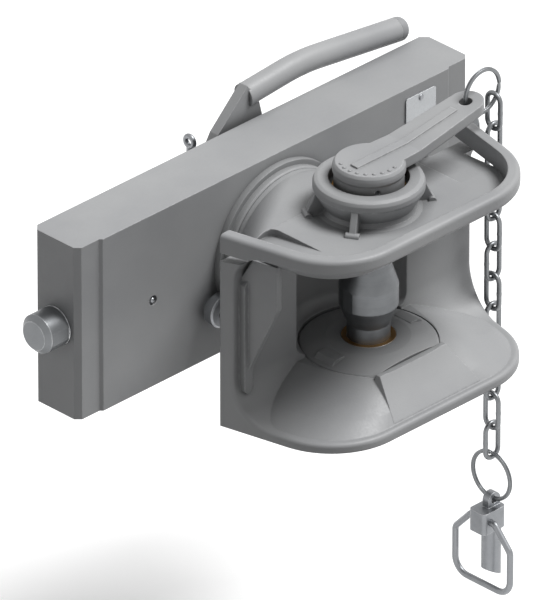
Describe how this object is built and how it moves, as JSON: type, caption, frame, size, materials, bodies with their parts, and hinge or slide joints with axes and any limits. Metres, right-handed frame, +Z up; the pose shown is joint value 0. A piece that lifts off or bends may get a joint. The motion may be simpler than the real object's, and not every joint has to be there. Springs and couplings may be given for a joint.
{
  "type": "clevis tow hitch",
  "caption": "Rotating clevis tow hitch with lift-out kingpin on a height-adjustable slide plate with spring locking pins and a release lever.",
  "frame": {"origin": "on the common axis of the two locking pins, in the middle of the slide plate's thickness, height and width", "axes": "+X towards the right locking pin as seen from the mouth side, +Y away from the mouth towards the vehicle, +Z up along the ladder rack"},
  "size_m": [0.434, 0.2578, 0.4242],
  "materials": {
    "grey_paint": "satin grey paint over cast and flame-cut steel",
    "hardened_steel": "machined, hardened and lightly greased steel",
    "zinc_plate": "bright zinc plate",
    "bronze": "machined bearing bronze",
    "bare_aluminium": "bare matt aluminium sheet",
    "black_plastic": "moulded black plastic cap"
  },
  "bodies": {
    "carrier": {"carrier_plate": "grey_paint", "bearing_ring": "grey_paint", "clamp_bolts": "zinc_plate", "shaft_bush": "bronze", "type_plate": "bare_aluminium", "type_plate_rivets": "zinc_plate", "grease_nipples": "zinc_plate", "lever_circlip": "hardened_steel", "left_pin_spring": "hardened_steel", "right_pin_spring": "hardened_steel"},
    "clevis": {"clevis_body": "grey_paint", "boss_collar": "grey_paint", "upper_bush": "bronze", "lower_bush": "bronze", "wear_ring": "hardened_steel", "thrust_washer": "hardened_steel", "disc_springs": "hardened_steel", "castle_nut": "zinc_plate", "split_pin": "zinc_plate"},
    "kingpin": {"kingpin": "hardened_steel"},
    "handle": {"pin_handle": "grey_paint", "handle_roll_pin": "zinc_plate"},
    "upper_ring": {"upper_ring": "zinc_plate"},
    "chain_link_01": {"chain_link_01": "zinc_plate"},
    "chain_link_02": {"chain_link_02": "zinc_plate"},
    "chain_link_03": {"chain_link_03": "zinc_plate"},
    "chain_link_04": {"chain_link_04": "zinc_plate"},
    "chain_link_05": {"chain_link_05": "zinc_plate"},
    "chain_link_06": {"chain_link_06": "zinc_plate"},
    "chain_link_07": {"chain_link_07": "zinc_plate"},
    "chain_link_08": {"chain_link_08": "zinc_plate"},
    "chain_link_09": {"chain_link_09": "zinc_plate"},
    "chain_link_10": {"chain_link_10": "zinc_plate"},
    "chain_link_11": {"chain_link_11": "zinc_plate"},
    "chain_link_12": {"chain_link_12": "zinc_plate"},
    "lower_ring": {"lower_ring": "zinc_plate"},
    "linch_pin": {"linch_pin": "zinc_plate"},
    "linch_bow": {"linch_bow": "zinc_plate"},
    "lever": {"lever_crank": "grey_paint", "lever_grip": "grey_paint", "lever_end_cap": "black_plastic"},
    "left_locking_pin": {"left_locking_pin": "hardened_steel", "left_pull_bar": "zinc_plate", "left_driver_bolt": "zinc_plate"},
    "right_locking_pin": {"right_locking_pin": "hardened_steel", "right_pull_bar": "zinc_plate", "right_driver_bolt": "zinc_plate"}
  },
  "joints": [
    {"name": "clevis_turn", "type": "hinge", "parent": "carrier", "child": "clevis", "pos_m": [0, 0, 0], "axis": [0, 1, 0], "range_deg": [-90, 90]},
    {"name": "kingpin_lift", "type": "slide", "parent": "clevis", "child": "kingpin", "axis": [0, 0, 1], "range_m": [0, 0.14]},
    {"name": "handle_turn", "type": "hinge", "parent": "kingpin", "child": "handle", "pos_m": [0, -0.1146, 0.09], "axis": [0, 0, 1], "range_deg": [-150, 0]},
    {"name": "upper_ring_swing", "type": "hinge", "parent": "handle", "child": "upper_ring", "pos_m": [0.1054, -0.1146, 0.1063], "axis": [0, -1, 0], "range_deg": [0, 25]},
    {"name": "chain_link_01_swing", "type": "hinge", "parent": "upper_ring", "child": "chain_link_01", "pos_m": [0.1248, -0.1146, 0.09854], "axis": [-1, 0, 0], "range_deg": [0, 20]},
    {"name": "chain_link_02_swing", "type": "hinge", "parent": "chain_link_01", "child": "chain_link_02", "pos_m": [0.1248, -0.1146, 0.07607], "axis": [0, -1, 0], "range_deg": [0, 20]},
    {"name": "chain_link_03_swing", "type": "hinge", "parent": "chain_link_02", "child": "chain_link_03", "pos_m": [0.1248, -0.1146, 0.05167], "axis": [-1, 0, 0], "range_deg": [0, 20]},
    {"name": "chain_link_04_swing", "type": "hinge", "parent": "chain_link_03", "child": "chain_link_04", "pos_m": [0.1248, -0.1146, 0.02727], "axis": [0, -1, 0], "range_deg": [0, 20]},
    {"name": "chain_link_05_swing", "type": "hinge", "parent": "chain_link_04", "child": "chain_link_05", "pos_m": [0.1248, -0.1146, 0.00287], "axis": [-1, 0, 0], "range_deg": [0, 20]},
    {"name": "chain_link_06_swing", "type": "hinge", "parent": "chain_link_05", "child": "chain_link_06", "pos_m": [0.1248, -0.1146, -0.02153], "axis": [0, -1, 0], "range_deg": [0, 20]},
    {"name": "chain_link_07_swing", "type": "hinge", "parent": "chain_link_06", "child": "chain_link_07", "pos_m": [0.1248, -0.1146, -0.04593], "axis": [-1, 0, 0], "range_deg": [0, 20]},
    {"name": "chain_link_08_swing", "type": "hinge", "parent": "chain_link_07", "child": "chain_link_08", "pos_m": [0.1248, -0.1146, -0.07033], "axis": [0, -1, 0], "range_deg": [0, 20]},
    {"name": "chain_link_09_swing", "type": "hinge", "parent": "chain_link_08", "child": "chain_link_09", "pos_m": [0.1248, -0.1146, -0.09473], "axis": [-1, 0, 0], "range_deg": [-20, 20]},
    {"name": "chain_link_10_swing", "type": "hinge", "parent": "chain_link_09", "child": "chain_link_10", "pos_m": [0.1248, -0.1146, -0.11913], "axis": [0, -1, 0], "range_deg": [-20, 20]},
    {"name": "chain_link_11_swing", "type": "hinge", "parent": "chain_link_10", "child": "chain_link_11", "pos_m": [0.1248, -0.1146, -0.14353], "axis": [-1, 0, 0], "range_deg": [-20, 20]},
    {"name": "chain_link_12_swing", "type": "hinge", "parent": "chain_link_11", "child": "chain_link_12", "pos_m": [0.1248, -0.1146, -0.16793], "axis": [0, -1, 0], "range_deg": [-20, 20]},
    {"name": "lower_ring_swing", "type": "hinge", "parent": "chain_link_12", "child": "lower_ring", "pos_m": [0.1248, -0.1146, -0.19233], "axis": [-1, 0, 0], "range_deg": [-20, 20]},
    {"name": "linch_pin_swing", "type": "hinge", "parent": "lower_ring", "child": "linch_pin", "pos_m": [0.1248, -0.1146, -0.22548], "axis": [0, -1, 0], "range_deg": [-20, 20]},
    {"name": "linch_bow_swing", "type": "hinge", "parent": "linch_pin", "child": "linch_bow", "pos_m": [0.1163, -0.1146, -0.23998], "axis": [0, 1, 0], "range_deg": [0, 150]},
    {"name": "lever_turn", "type": "hinge", "parent": "carrier", "child": "lever", "pos_m": [0, 0, 0], "axis": [0, -1, 0], "range_deg": [0, 30], "stiffness_Nm_per_rad": 3, "springref_deg": -20.05},
    {"name": "left_pin_slide", "type": "slide", "parent": "carrier", "child": "left_locking_pin", "axis": [1, 0, 0], "range_m": [0, 0.0242], "deforming": ["left_pin_spring"]},
    {"name": "right_pin_slide", "type": "slide", "parent": "carrier", "child": "right_locking_pin", "axis": [-1, 0, 0], "range_m": [0, 0.0242], "deforming": ["right_pin_spring"]}
  ],
  "couplings": [
    {"joint": "left_pin_slide", "follows": "lever_turn", "m_per_rad": 0.04606},
    {"joint": "right_pin_slide", "follows": "lever_turn", "m_per_rad": 0.04606}
  ]
}
